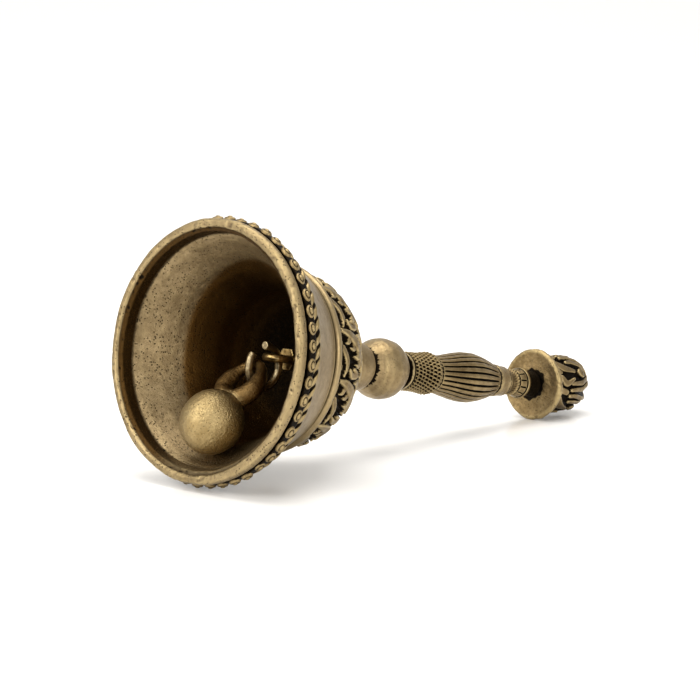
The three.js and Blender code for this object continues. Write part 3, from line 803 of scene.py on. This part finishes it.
def carve(strokes, repeats, turn, rise, radius, row):
    """The strokes' height over the chosen rows of a section, in so many repeats round it."""
    turn = turn - np.round(turn)
    carved = np.zeros_like(turn)
    carved[row] = stroke_height(strokes, turn[row], rise[row], radius[row], 2 * math.pi / repeats)
    return carved


def crown_relief(angle, radius, height, place):
    outer = radius > crown_edge(height) - 1.2
    rise = np.interp(height, outline[:, 1], along) + 0.35 * lumps(place, 7.0, 41)
    turn = (angle + 0 * height) * REPEATS / (2 * math.pi) + 0.035 * lumps(place, 8.0, 42)
    carved = carve(STROKES, REPEATS, turn, rise, radius, outer[:, 0])
    rim = step_down(rise, 0.7, 1.3) * 0.62
    neck = step_up(rise, along[-1] - 5.2, along[-1] - 4.4) * 0.75
    height_share = np.maximum(np.maximum(carved, rim), neck)
    holes = np.clip(lumps(place, 1.3, 43) - 0.5, 0, 1) * 1.2 * (neck > 0.3)
    worn = 0.1 * lumps(place, 2.4, 44)
    return outer * (RELIEF * (height_share - 1) + 0.1 - holes + worn)


def crown_grime(angle, radius, height, rise):
    inside = radius < crown_edge(height) - 1.2
    return np.where(inside, 0.9, step_down(rise, -1.05, -0.55))


def crown_step(radius, height):
    """Short steps over the carving, and long ones inside, where nobody sees it."""
    return 0.29 if radius > crown_edge(height) - 0.5 else 1.5


crown = turned("carved_crown", eased(CROWN_OUTSIDE + CROWN_INSIDE, crown_step, 1), 560,
               crown_relief, crown_grime, 0.3, 7)
dress(crown, carved_brass, "crown_cap")
print("crown", 2 * len(crown.data.polygons), "triangles")

# %% [markdown]
# ## The turned handle
# Between the carving and the weave come a collar, a ball and a thin ring. They are plain turned
# shapes, so all their interest is in small things: the crease round the ball, the ragged dark
# groove where two castings meet, and the dents of long use.
# %% Collar, ball and ring
def tube_section(points, bore):
    """An outside profile closed by a straight bore, counter-clockwise."""
    return points + [(bore, points[-1][1]), (bore, points[0][1])]


def dents(seed, deep=0.06, size=3.0):
    """Shallow dents of use, large ones and small ones."""
    return lambda a, r, h, place: (deep * lumps(place, size, seed)
                                   + 0.4 * deep * lumps(place, size / 3, seed + 1))


def end_grime(low, high, reach):
    """Ragged soot where a piece meets its neighbours."""
    def darkening(angle, radius, height, rise):
        ragged = 0.28 * np.sin(7 * angle) + 0.22 * np.sin(19 * angle + 1.3) + 0.16 * np.sin(41 * angle + 0.4)
        near = np.minimum(height - low, high - height) + ragged * reach * 0.5
        return step_down(near, 0.25 * reach, reach)
    return darkening


low, high, wide = span("crown_collar")
collar_points = [(wide * 0.96, low), (wide * 0.99, low + 1.6), (wide, low + 4.5), (wide * 0.985, low + 7.5),
                 (wide * 0.95, low + 9.4), (wide * 0.91, low + 10.4), (wide * 0.86, high)]
collar = turned("collar", eased(tube_section(collar_points, BORE), 0.4), 160, dents(51),
                end_grime(low, high, 0.55))
dress(collar, handle_brass, "crown_collar")

low, high = span("handle_knob")[:2]


def cad_profile(node, steps):
    """The outline of a turned CAD node: its largest radius at even heights, skipping its bore."""
    points = node_points(node)
    radius, height = np.hypot(points[:, 0], points[:, 1]), points[:, 2]
    order = np.argsort(height)
    radius, height = radius[order], height[order]
    starts = np.r_[0, np.nonzero(np.diff(height) > 0.12)[0] + 1]
    widest = np.maximum.reduceat(radius, starts)
    fine = np.linspace(height[0], height[-1], steps)
    return [(float(r), float(z)) for r, z in zip(np.interp(fine, height[starts], widest), fine)]


def knob_relief(angle, radius, height, place):
    crease = np.exp(-((height - (low + 0.2 * (high - low)) - 0.8 * np.sin(angle)) / 0.7) ** 2)
    return dents(55, 0.12, 4.0)(angle, radius, height, place) - 0.14 * crease


def knob_grime(angle, radius, height, rise):
    """The ragged black groove that shows beyond the collar's edge."""
    ragged = 0.22 * np.sin(9 * angle) + 0.2 * np.sin(23 * angle + 1.3) + 0.16 * np.sin(47 * angle + 0.4)
    return step_down(height + 0.8 * ragged, low + 1.85, low + 2.15)


knob = turned("ball", eased(tube_section(cad_profile("handle_knob", 30), BORE), 0.35), 240, knob_relief,
              knob_grime, 0.2, 12)
dress(knob, handle_brass, "handle_knob")

low, high, wide = span("knob_ring")
ring_points = [(wide * 0.98, low - 0.2), (wide, low + 0.3), (wide, high - 0.5), (wide * 0.94, high)]
knob_ring = turned("ball_ring", eased(tube_section(ring_points, BORE), 0.3), 140, dents(57, 0.05),
                   end_grime(low, high, 0.12))
dress(knob_ring, handle_brass, "knob_ring")
print("collar, ball and ring done")

# %% [markdown]
# ## The woven sleeve
# The sleeve imitates basket work: raised bands cross on a slant, and the small oval holes between
# them have gone black. It is cast in one, so it is one relief over a turned tube: eight rows of
# holes, each row staggered by half a pitch, which gives the slanting bands.
# %% Woven sleeve
low, high = span("weave_sleeve")[:2]
WEAVE_COLUMNS, WEAVE_ROWS = 32, 8


def weave_relief(angle, radius, height, place):
    share = (height - low) / (high - low) * WEAVE_ROWS
    row = np.floor(share)
    column = (angle + 0 * height) * WEAVE_COLUMNS / (2 * math.pi) + 0.5 * row + 0.12 * share
    across_hole = (column - np.floor(column) - 0.5) * 2 * math.pi * radius / WEAVE_COLUMNS
    along_hole = (share - row - 0.5) * (high - low) / WEAVE_ROWS
    tilt = 0.3 * along_hole
    hole = 1 - np.hypot((across_hole - tilt) / 0.53, along_hole / 0.86)
    bands = -0.2 * np.cos(2 * math.pi * share)
    edge = step_up(np.minimum(height - low, high - height), 0.3, 0.7)
    return edge * (0.25 + bands - 1.1 * step_up(hole, 0.0, 0.4)) + 0.1 * lumps(place, 1.2, 61)


def weave_grime(angle, radius, height, rise):
    ends = end_grime(low, high, 0.3)(angle, radius, height, rise)
    return np.maximum(step_down(rise, -0.4, -0.1), 0.8 * ends)


sleeve = turned("woven_sleeve", eased(tube_section(cad_profile("weave_sleeve", 16), BORE), 0.22, 1), 620,
                weave_relief, weave_grime, 0.16, 5)
dress(sleeve, carved_brass, "weave_sleeve")

# %% [markdown]
# ## The reeded grip
# Twenty-four flat reeds run along the swelling grip, with narrow black grooves between them that
# fade out at both ends. The reeds are part of the turned shape, so they are cut by a relief: flat
# over three quarters of the pitch and a deep narrow valley for the rest.
# %% Reeded grip
grip_low, grip_high = span("reeded_grip")[:2]
REEDS = 24


def grip_relief(angle, radius, height, place):
    share = (height - grip_low) / (grip_high - grip_low)
    wander = 0.05 * lumps(place, 9.0, 71)
    phase = (angle + 0 * height) * REEDS / (2 * math.pi) + wander
    off = np.abs(phase - np.round(phase)) * 2
    fade = step_up(share, 0.01, 0.07) * step_down(share, 0.9, 0.985)
    valley = step_down(off, 0.12, 0.46)
    crown_of_reed = 0.2 * (1 - (1 - np.clip(off, 0, 1)) ** 2)
    return fade * (crown_of_reed - 0.85 * valley) + 0.06 * lumps(place, 2.0, 72)


def grip_grime(angle, radius, height, rise):
    ends = end_grime(grip_low, grip_high, 0.5)(angle, radius, height, rise)
    return np.maximum(step_down(rise, -0.34, -0.1), ends)


grip = turned("reeded_grip_fine", eased(tube_section(cad_profile("reeded_grip", 60), BORE), 0.4, 1), 672,
              grip_relief, grip_grime, 0.2, 6)
dress(grip, reed_brass, "reeded_grip")
print("sleeve", len(sleeve.data.polygons), "grip", len(grip.data.polygons))

# %% [markdown]
# ## The neck and the petal cone
# A plain ring with file marks leads to a short cone with a corded line, a ring of small punched
# petals and a stepped foot that stands on the saucer.
# %% Neck ring and cone
low, high, wide = span("neck_ring")
neck_points = [(wide * 0.93, low), (wide, low + 1.1), (wide * 0.97, low + 2.6),
               (wide * 0.89, high - 1.4), (wide * 0.93, high)]


def file_marks(angle, radius, height, place):
    marks = 0.05 * np.sin(26 * angle + 5 * height) * step_up(lumps(place, 3.0, 81), -0.2, 0.4)
    return marks + 0.06 * lumps(place, 2.2, 82)


neck = turned("neck_moulding", eased(tube_section(neck_points, BORE), 0.3), 240, file_marks,
              end_grime(low, high, 0.7), 0.15, 8)
dress(neck, handle_brass, "neck_ring")

low, high = span("petal_cone")[:2]
PETALS = 12
CONE_FOOT = 10.6


def cone_relief(angle, radius, height, place):
    up = height - low
    cord = np.exp(-((up - 4.6) / 0.6) ** 2) * (0.5 + 0.22 * np.cos(26 * angle + 3 * up))
    slots = (np.abs(np.cos(PETALS / 2 * angle)) < 0.42) * step_up(up, 5.9, 6.3) * step_down(up, 8.1, 8.6)
    foot = 0.35 * step_up(up, 8.9, 9.2) * step_down(up, CONE_FOOT - 0.3, CONE_FOOT)
    grooves = 0.35 * (np.exp(-((up - 5.6) / 0.25) ** 2) + np.exp(-((up - 8.8) / 0.25) ** 2))
    return cord - 0.75 * slots + foot - grooves - 0.1 + 0.08 * lumps(place, 1.6, 84)


def cone_soot_and_shade(angle, radius, height, rise):
    # The stem between the cone's foot and the saucer is painted black as shade.
    stem_shade = step_up(height - low, CONE_FOOT - 0.2, CONE_FOOT + 0.3)
    ends = end_grime(low, high, 0.5)(angle, radius, height, rise)
    return np.maximum(np.maximum(step_down(rise, -0.5, -0.3), stem_shade), ends)


cone = turned("petal_cone_fine", eased(tube_section(cad_profile("petal_cone", 30), BORE), 0.24, 1), 480,
              cone_relief, cone_soot_and_shade, 0.16, 5)
dress(cone, carved_brass, "petal_cone")
print("neck and cone done")

# %% [markdown]
# ## The saucer and the carved bud
# The saucer is a rough cast disc with a thick worn rim. Behind it the bud leans a little, because
# the rod in it was never quite straight. The two CAD nodes know the lean, so it is measured from
# the saucer: the direction of its thin side gives the axis of both pieces.
# %% Saucer
saucer_cad = node_points("saucer")
centre = saucer_cad.mean(0)
spread = np.linalg.svd(saucer_cad - centre, full_matrices=False)[2]
lean_axis = spread[2] * np.sign(spread[2][2])
lean_side = np.cross([0.0, 1.0, 0.0], lean_axis)
lean_side /= np.linalg.norm(lean_side)
lean = np.stack([lean_side, np.array([0.0, 1.0, 0.0]), lean_axis], axis=1)
print("lean of the bud", round(math.degrees(math.acos(lean_axis[2])), 2))


def in_lean(node):
    """A leaning CAD node's radius and height about the leaning axis through the saucer."""
    points = (node_points(node) - centre) @ lean
    return np.hypot(points[:, 0], points[:, 1]), points[:, 2]


def lean_over(obj):
    """Turns a mesh drawn upright about the saucer's middle into the leaning place."""
    matrix = Matrix([[*row, 0] for row in lean.tolist()] + [[0, 0, 0, 1]])
    obj.data.transform(lay_down @ Matrix.Translation(Vector(centre * MM)) @ matrix @ stand_up)
    return obj


saucer_wide, saucer_up = in_lean("saucer")
saucer_radius, saucer_low, saucer_high = saucer_wide.max(), saucer_up.min(), saucer_up.max()


def saucer_relief(angle, radius, height, place):
    rim = step_up(radius, saucer_radius - 1.6, saucer_radius - 0.4)
    notch = np.clip(lumps(place, 1.5, 91) - 0.3, 0, 1) * rim * 0.5
    face = 0.12 * lumps(place, 2.4, 92) + 0.07 * lumps(place, 0.9, 93)
    wavy = 0.25 * lumps(place, 7.0, 94) * rim
    return (radius > 3.2) * (face - notch + wavy)


def saucer_shadow_and_dark_back(angle, radius, height, rise):
    # A black hub on the face is the cone's painted shadow, and the middle of the back is darker where the bud
    # stands.
    ragged = 0.5 * np.sin(2 * angle + 0.5) + 0.35 * np.sin(5 * angle) + 0.2 * np.sin(13 * angle)
    hub_shadow = step_down(radius, 5.0 + ragged, 5.5 + ragged) * (height < 0)
    back = (height > 0) * step_down(radius, 9.4, 11.0)
    return np.maximum(hub_shadow, back)


saucer_points = [(BORE, saucer_low + 0.5), (5.0, saucer_low + 0.5), (8.0, saucer_low + 0.7),
                 (10.4, saucer_low + 0.35), (saucer_radius - 0.8, saucer_low),
                 (saucer_radius, saucer_low + 0.7), (saucer_radius, saucer_high - 0.7),
                 (saucer_radius - 0.8, saucer_high), (9.0, saucer_high), (BORE, saucer_high)]
saucer = lean_over(turned("saucer_fine", eased(saucer_points, 0.35), 240,
                          saucer_relief, saucer_shadow_and_dark_back, 0.2, 8))
dress(saucer, saucer_brass, "saucer")

# %% [markdown]
# The bud is a generic stylised flower. Leaves rise from a beaded foot, part round a smooth
# button, and run up as long striations to a rounded tip. It is carved with the crown's strokes,
# four repeats of them, over a turned body that closes in a point.
# %% Carved bud
bud_wide, bud_up = in_lean("finial")
bud_low, bud_high, bud_radius = bud_up.min(), bud_up.max(), bud_wide.max()
bud_length = bud_high - bud_low
BUD_SHAPE = [(0.0, 6.6), (0.05, 8.2), (0.12, 9.6), (0.25, 10.3), (0.45, 10.5), (0.62, 10.0), (0.78, 8.6),
             (0.90, 6.4), (0.97, 3.8), (1.0, 1.2)]
bud_points = [(min(r, bud_radius - 0.2), bud_low + share * bud_length) for share, r in BUD_SHAPE]
BUD_REPEATS, BUD_DEPTH, BUD_TURN = 4, 1.7, 0.32
# The same kind of strokes as on the crown: sweeping leaves, a round button, small foot beads.
BUD_STROKES = [
    ([(0.0, 14.3), (0.01, 15.0)], [3.3, 3.3]),
    ([(-0.28, 8.5), (-0.25, 13.0), (-0.14, 18.5), (0.0, 22.0)], [1.5, 2.0, 1.9, 1.5]),
    ([(0.27, 8.5), (0.25, 13.0), (0.16, 18.0), (0.06, 22.0)], [1.5, 2.0, 1.8, 1.5]),
    ([(-0.45, 7.5), (-0.41, 13.0), (-0.28, 19.0), (-0.16, 23.5)], [1.6, 2.0, 1.8, 1.6]),
    ([(0.42, 8.0), (0.39, 14.0), (0.29, 19.0), (0.2, 23.5)], [1.6, 2.0, 1.8, 1.6]),
    ([(-0.36, 3.2), (-0.16, 5.6), (-0.02, 10.4)], [2.6, 3.4, 1.8]),
    ([(0.10, 3.0), (0.25, 5.0), (0.16, 9.0)], [2.3, 2.8, 1.2]),
    ([(0.42, 3.0), (0.46, 5.4)], [2.5, 2.2]), ([(-0.08, 2.6), (-0.06, 3.4)], [2.2, 1.9]),
]


def bud_relief(angle, radius, height, place):
    rise = height - bud_low + 0.25 * lumps(place, 6.0, 103)
    turn = (angle + 0 * height) * BUD_REPEATS / (2 * math.pi) + 0.03 * lumps(place, 6.0, 104) + BUD_TURN
    carved = carve(BUD_STROKES, BUD_REPEATS, turn, rise, radius, (radius > BORE + 0.3)[:, 0])
    foot = step_down(rise, 0.9, 1.3) * 0.9
    tip = step_down(radius, 1.5, 3.5)
    shape = np.maximum(np.maximum(carved, foot), tip)
    carving = BUD_DEPTH * (shape - 1) * step_up(radius, 1.0, 5.0)
    return step_up(radius, BORE, BORE + 0.5) * (carving + 0.1 * lumps(place, 1.8, 102))


def bud_grime(angle, radius, height, rise):
    return np.maximum(step_down(rise, -1.1, -0.5), height < bud_low + 0.9)


# The tip closes on the axis, and the rod's bore ends blind below it.
blind_bore = [(0.5, bud_high), (0.02, bud_high), (0.02, bud_high - 0.1), (0.02, bud_high - 8.8),
              (BORE, bud_high - 9), (BORE, bud_low)]
bud = lean_over(turned("carved_bud", eased(bud_points + blind_bore, 0.28, 1), 420,
                       bud_relief, bud_grime, 0.3, 7))
dress(bud, finial_brass, "finial")
print("bud", len(bud.data.polygons), "faces")

# %% [markdown]
# ## The hanging gear
# Inside the dome a nut and a washer clamp the rod that holds the handle on. Below them an eye nut
# carries an open link of thick wire, and the clapper's cast eye hangs in the link. Each is its
# own piece on its own body, so the clapper really swings. The CAD solids give their places.
# Their skins are made finer here, and roughened as sand castings are.
# %% Hanging gear
def refined(node, name, size, seed, rough=0.05, scale=1.2, smooth=1, mesh=None):
    """A CAD node, or a given mesh, remade as an evenly fine skin, smoothed and roughened."""
    if mesh is None:
        source = bmesh.new()
        source.from_mesh(frame["nodes"][node].data)
        bmesh.ops.remove_doubles(source, verts=source.verts, dist=1e-6)
        mesh = bpy.data.meshes.new(name)
        source.to_mesh(mesh)
        source.free()
    obj = in_scene(name, mesh)
    remesh = obj.modifiers.new("even", "REMESH")
    remesh.mode, remesh.voxel_size, remesh.use_smooth_shade = "VOXEL", size * MM, True
    soften = obj.modifiers.new("soften", "SMOOTH")
    soften.factor, soften.iterations = 0.5, smooth * 3
    evaluated = obj.evaluated_get(bpy.context.evaluated_depsgraph_get())
    fine = bpy.data.meshes.new_from_object(evaluated)
    obj.modifiers.clear()
    obj.data = fine
    place, normal = vertex_places(fine), vertex_normals(fine)
    bumps = rough * lumps(place / MM, scale, seed) + 0.5 * rough * lumps(place / MM, scale / 2.3, seed + 1)
    fine.vertices.foreach_set("co", (place + normal * bumps[:, None] * MM).ravel())
    fine.shade_smooth()
    return mark_wear(obj, 0.16, 8)


# The clapper's measures in mm: half the ball's length, and the eye's wire at its top and foot.
BALL_HALF = 10.3
EYE_WIDE, EYE_TOP_WIRE, EYE_FOOT_WIRE = 4.9, 1.7, 3.0


def cast_clapper():
    """Ball and long eye as overlapping smooth solids, which the voxels join into one skin.
    The eye and its foot are browned, and the ball is left bright."""
    hang = joint_place("clapper_swing")
    points = node_points("clapper")
    far = points[np.argmax(np.linalg.norm(points - hang, axis=1))]
    down = far - hang
    down[1] = 0
    reach = np.linalg.norm(down)
    down /= reach
    side = np.array([0.0, 1.0, 0.0])
    turn = np.stack([np.cross(side, down), side, down], axis=1)
    local = (points - hang) @ turn
    ball_radius = np.hypot(local[:, 0], local[:, 1]).max()
    half_eye = (reach - 2 * BALL_HALF + 0.3) / 2
    print("clapper reach", round(reach, 2), "ball", round(ball_radius, 2), "eye", round(2 * half_eye, 2))
    solid = bmesh.new()
    bmesh.ops.create_uvsphere(solid, u_segments=96, v_segments=64, radius=1.0,
                              matrix=Matrix.Translation((0, 0, reach - BALL_HALF)) @
                              Matrix.Diagonal((ball_radius, ball_radius, BALL_HALF, 1)))
    for around in np.arange(90) * math.pi / 45:
        foot = step_down(math.sin(around), -0.4, 0.75)
        rough = 0.1 * math.sin(5 * around + 1) + 0.06 * math.sin(11 * around)
        thick = EYE_TOP_WIRE + (EYE_FOOT_WIRE - EYE_TOP_WIRE + rough) * foot
        wide = EYE_WIDE * (1.2 - 0.2 * math.sin(around)) * math.cos(around)
        place = Matrix.Translation((0, wide, half_eye - half_eye * math.sin(around)))
        bmesh.ops.create_uvsphere(solid, u_segments=24, v_segments=16, radius=thick, matrix=place)
    mesh = bpy.data.meshes.new("cast_clapper")
    solid.to_mesh(mesh)
    solid.free()
    stand = Matrix([[*row, 0] for row in turn.tolist()] + [[0, 0, 0, 1]])
    mesh.transform(lay_down @ Matrix.Scale(MM, 4) @ Matrix.Translation(Vector(hang)) @ stand)
    cast = refined("clapper", "cast_clapper", 0.24, 115, 0.035, 0.9, 2, mesh)
    ball = np.array(lay_down @ (Vector(hang + down * (reach - BALL_HALF)) * MM))
    away = np.linalg.norm(vertex_places(cast.data) - ball, axis=1) / MM
    store(cast.data, "brown_shade_and_tone", 0.8 * step_up(away, ball_radius, ball_radius + 2.5))
    return cast


link = refined("ring_link", "open_wire_link", 0.16, 111, 0.08, 1.4)
dress(link, link_steel, "ring_link", "open_link")
eye_nut = refined("swivel_eye_nut", "eye_nut", 0.16, 113, 0.08, 1.2)
dress(eye_nut, fitting_brass, "swivel_eye_nut", "crown_eye")
clapper = cast_clapper()
dress(clapper, clapper_brass, "clapper", "clapper")
washer = refined("crown_washer", "washer", 0.22, 117, 0.03)
dress(washer, fitting_brass, "crown_washer")
nut = refined("crown_nut", "clamp_nut", 0.22, 119, 0.03)
dress(nut, fitting_brass, "crown_nut")
rod = refined("tie_rod", "rod", 0.3, 121, 0.02)
dress(rod, rod_steel, "tie_rod")
for piece in (link, eye_nut, clapper, washer, nut, rod):
    print(piece.name, len(piece.data.polygons))

# %% [markdown]
# ## Floor, light and camera
# The bell lies on a seamless white sweep under soft light. A slight gloss in the floor gives the
# faint reflection below the bell. Large soft lamps stand to the left, above and in front, so that
# the brass shows broad highlights and its dark side stays readable.
# %% Floor, light and camera
floor_mesh = bpy.data.meshes.new("floor")
HALF, SWEEP = 4.0, 1.6
FLAT_TO, TOP = 0.9, 6.0
rows = [(-HALF, 0.0), (FLAT_TO, 0.0)]
rows += [(FLAT_TO + SWEEP * math.sin(t), SWEEP * (1 - math.cos(t)))
         for t in np.linspace(0.1, math.pi / 2, 10)]
rows += [(FLAT_TO + SWEEP, TOP)]
corners = [(side * HALF, depth, up) for depth, up in rows for side in (-1, 1)]
quads = [(2 * k, 2 * k + 1, 2 * k + 3, 2 * k + 2) for k in range(len(rows) - 1)]
floor_mesh.from_pydata(corners, [], quads)
floor_mesh.shade_smooth()
floor = in_scene("floor", floor_mesh)

# The camera looks past the mouth from the front, nearly level: metres and degrees.
HEADING, PITCH, DISTANCE, TO_RIGHT, TO_TOP = 42.0, -8.29, 0.7154, 0.0440, 0.0002
level = math.cos(math.radians(PITCH))
CAMERA_FORWARD = Vector((level * math.cos(math.radians(HEADING)), level * math.sin(math.radians(HEADING)),
                         math.sin(math.radians(PITCH))))
camera_right = CAMERA_FORWARD.cross(Vector((0, 0, 1))).normalized()
CAMERA_PLACE = (mouth + camera_right * TO_RIGHT + camera_right.cross(CAMERA_FORWARD) * TO_TOP
                - CAMERA_FORWARD * DISTANCE)
# The sweep rises away from the camera, so it is turned to face it.
heading = math.atan2(CAMERA_FORWARD.y, CAMERA_FORWARD.x) - math.pi / 2
floor_mesh.transform(Matrix.Rotation(heading, 4, "Z"))

floor_paint = bpy.data.materials.new("white_sweep")
floor_paint.use_nodes = True
floor_shader = floor_paint.node_tree.nodes["Principled BSDF"]
floor_shader.inputs["Base Color"].default_value = (0.93, 0.93, 0.93, 1)
floor_shader.inputs["Roughness"].default_value = 0.22
floor_mesh.materials.append(floor_paint)

world = bpy.data.worlds.new("room")
world.use_nodes = True
world.node_tree.nodes["Background"].inputs["Color"].default_value = (1.0, 0.985, 0.96, 1)
world.node_tree.nodes["Background"].inputs["Strength"].default_value = 0.8
bpy.context.scene.world = world


def lamp(name, place, target, size, watts, colour=(1, 0.97, 0.92)):
    data = bpy.data.lights.new(name, "AREA")
    data.shape, data.size, data.size_y = "RECTANGLE", size[0], size[1]
    data.energy, data.color = watts, colour
    obj = in_scene(name, data)
    obj.location = place
    obj.rotation_euler = (Vector(target) - Vector(place)).to_track_quat("-Z", "Y").to_euler()


lamp("window_left", (-1.2, 0.35, 0.75), (-0.05, 0.0, 0.04), (0.9, 0.9), 14)
lamp("overhead", (0.1, 0.1, 1.3), (0.0, 0.0, 0.04), (1.2, 1.0), 16)
lamp("front_low", (-0.5, -1.3, 0.5), (0.0, 0.0, 0.04), (0.6, 0.5), 6)

camera_data = bpy.data.cameras.new("camera")
camera_data.lens, camera_data.sensor_width = 123.43, 36
camera = in_scene("camera", camera_data)
camera.location = CAMERA_PLACE
camera.rotation_euler = CAMERA_FORWARD.to_track_quat("-Z", "Y").to_euler()
bpy.context.scene.camera = camera
bpy.context.scene.view_settings.view_transform = "Standard"
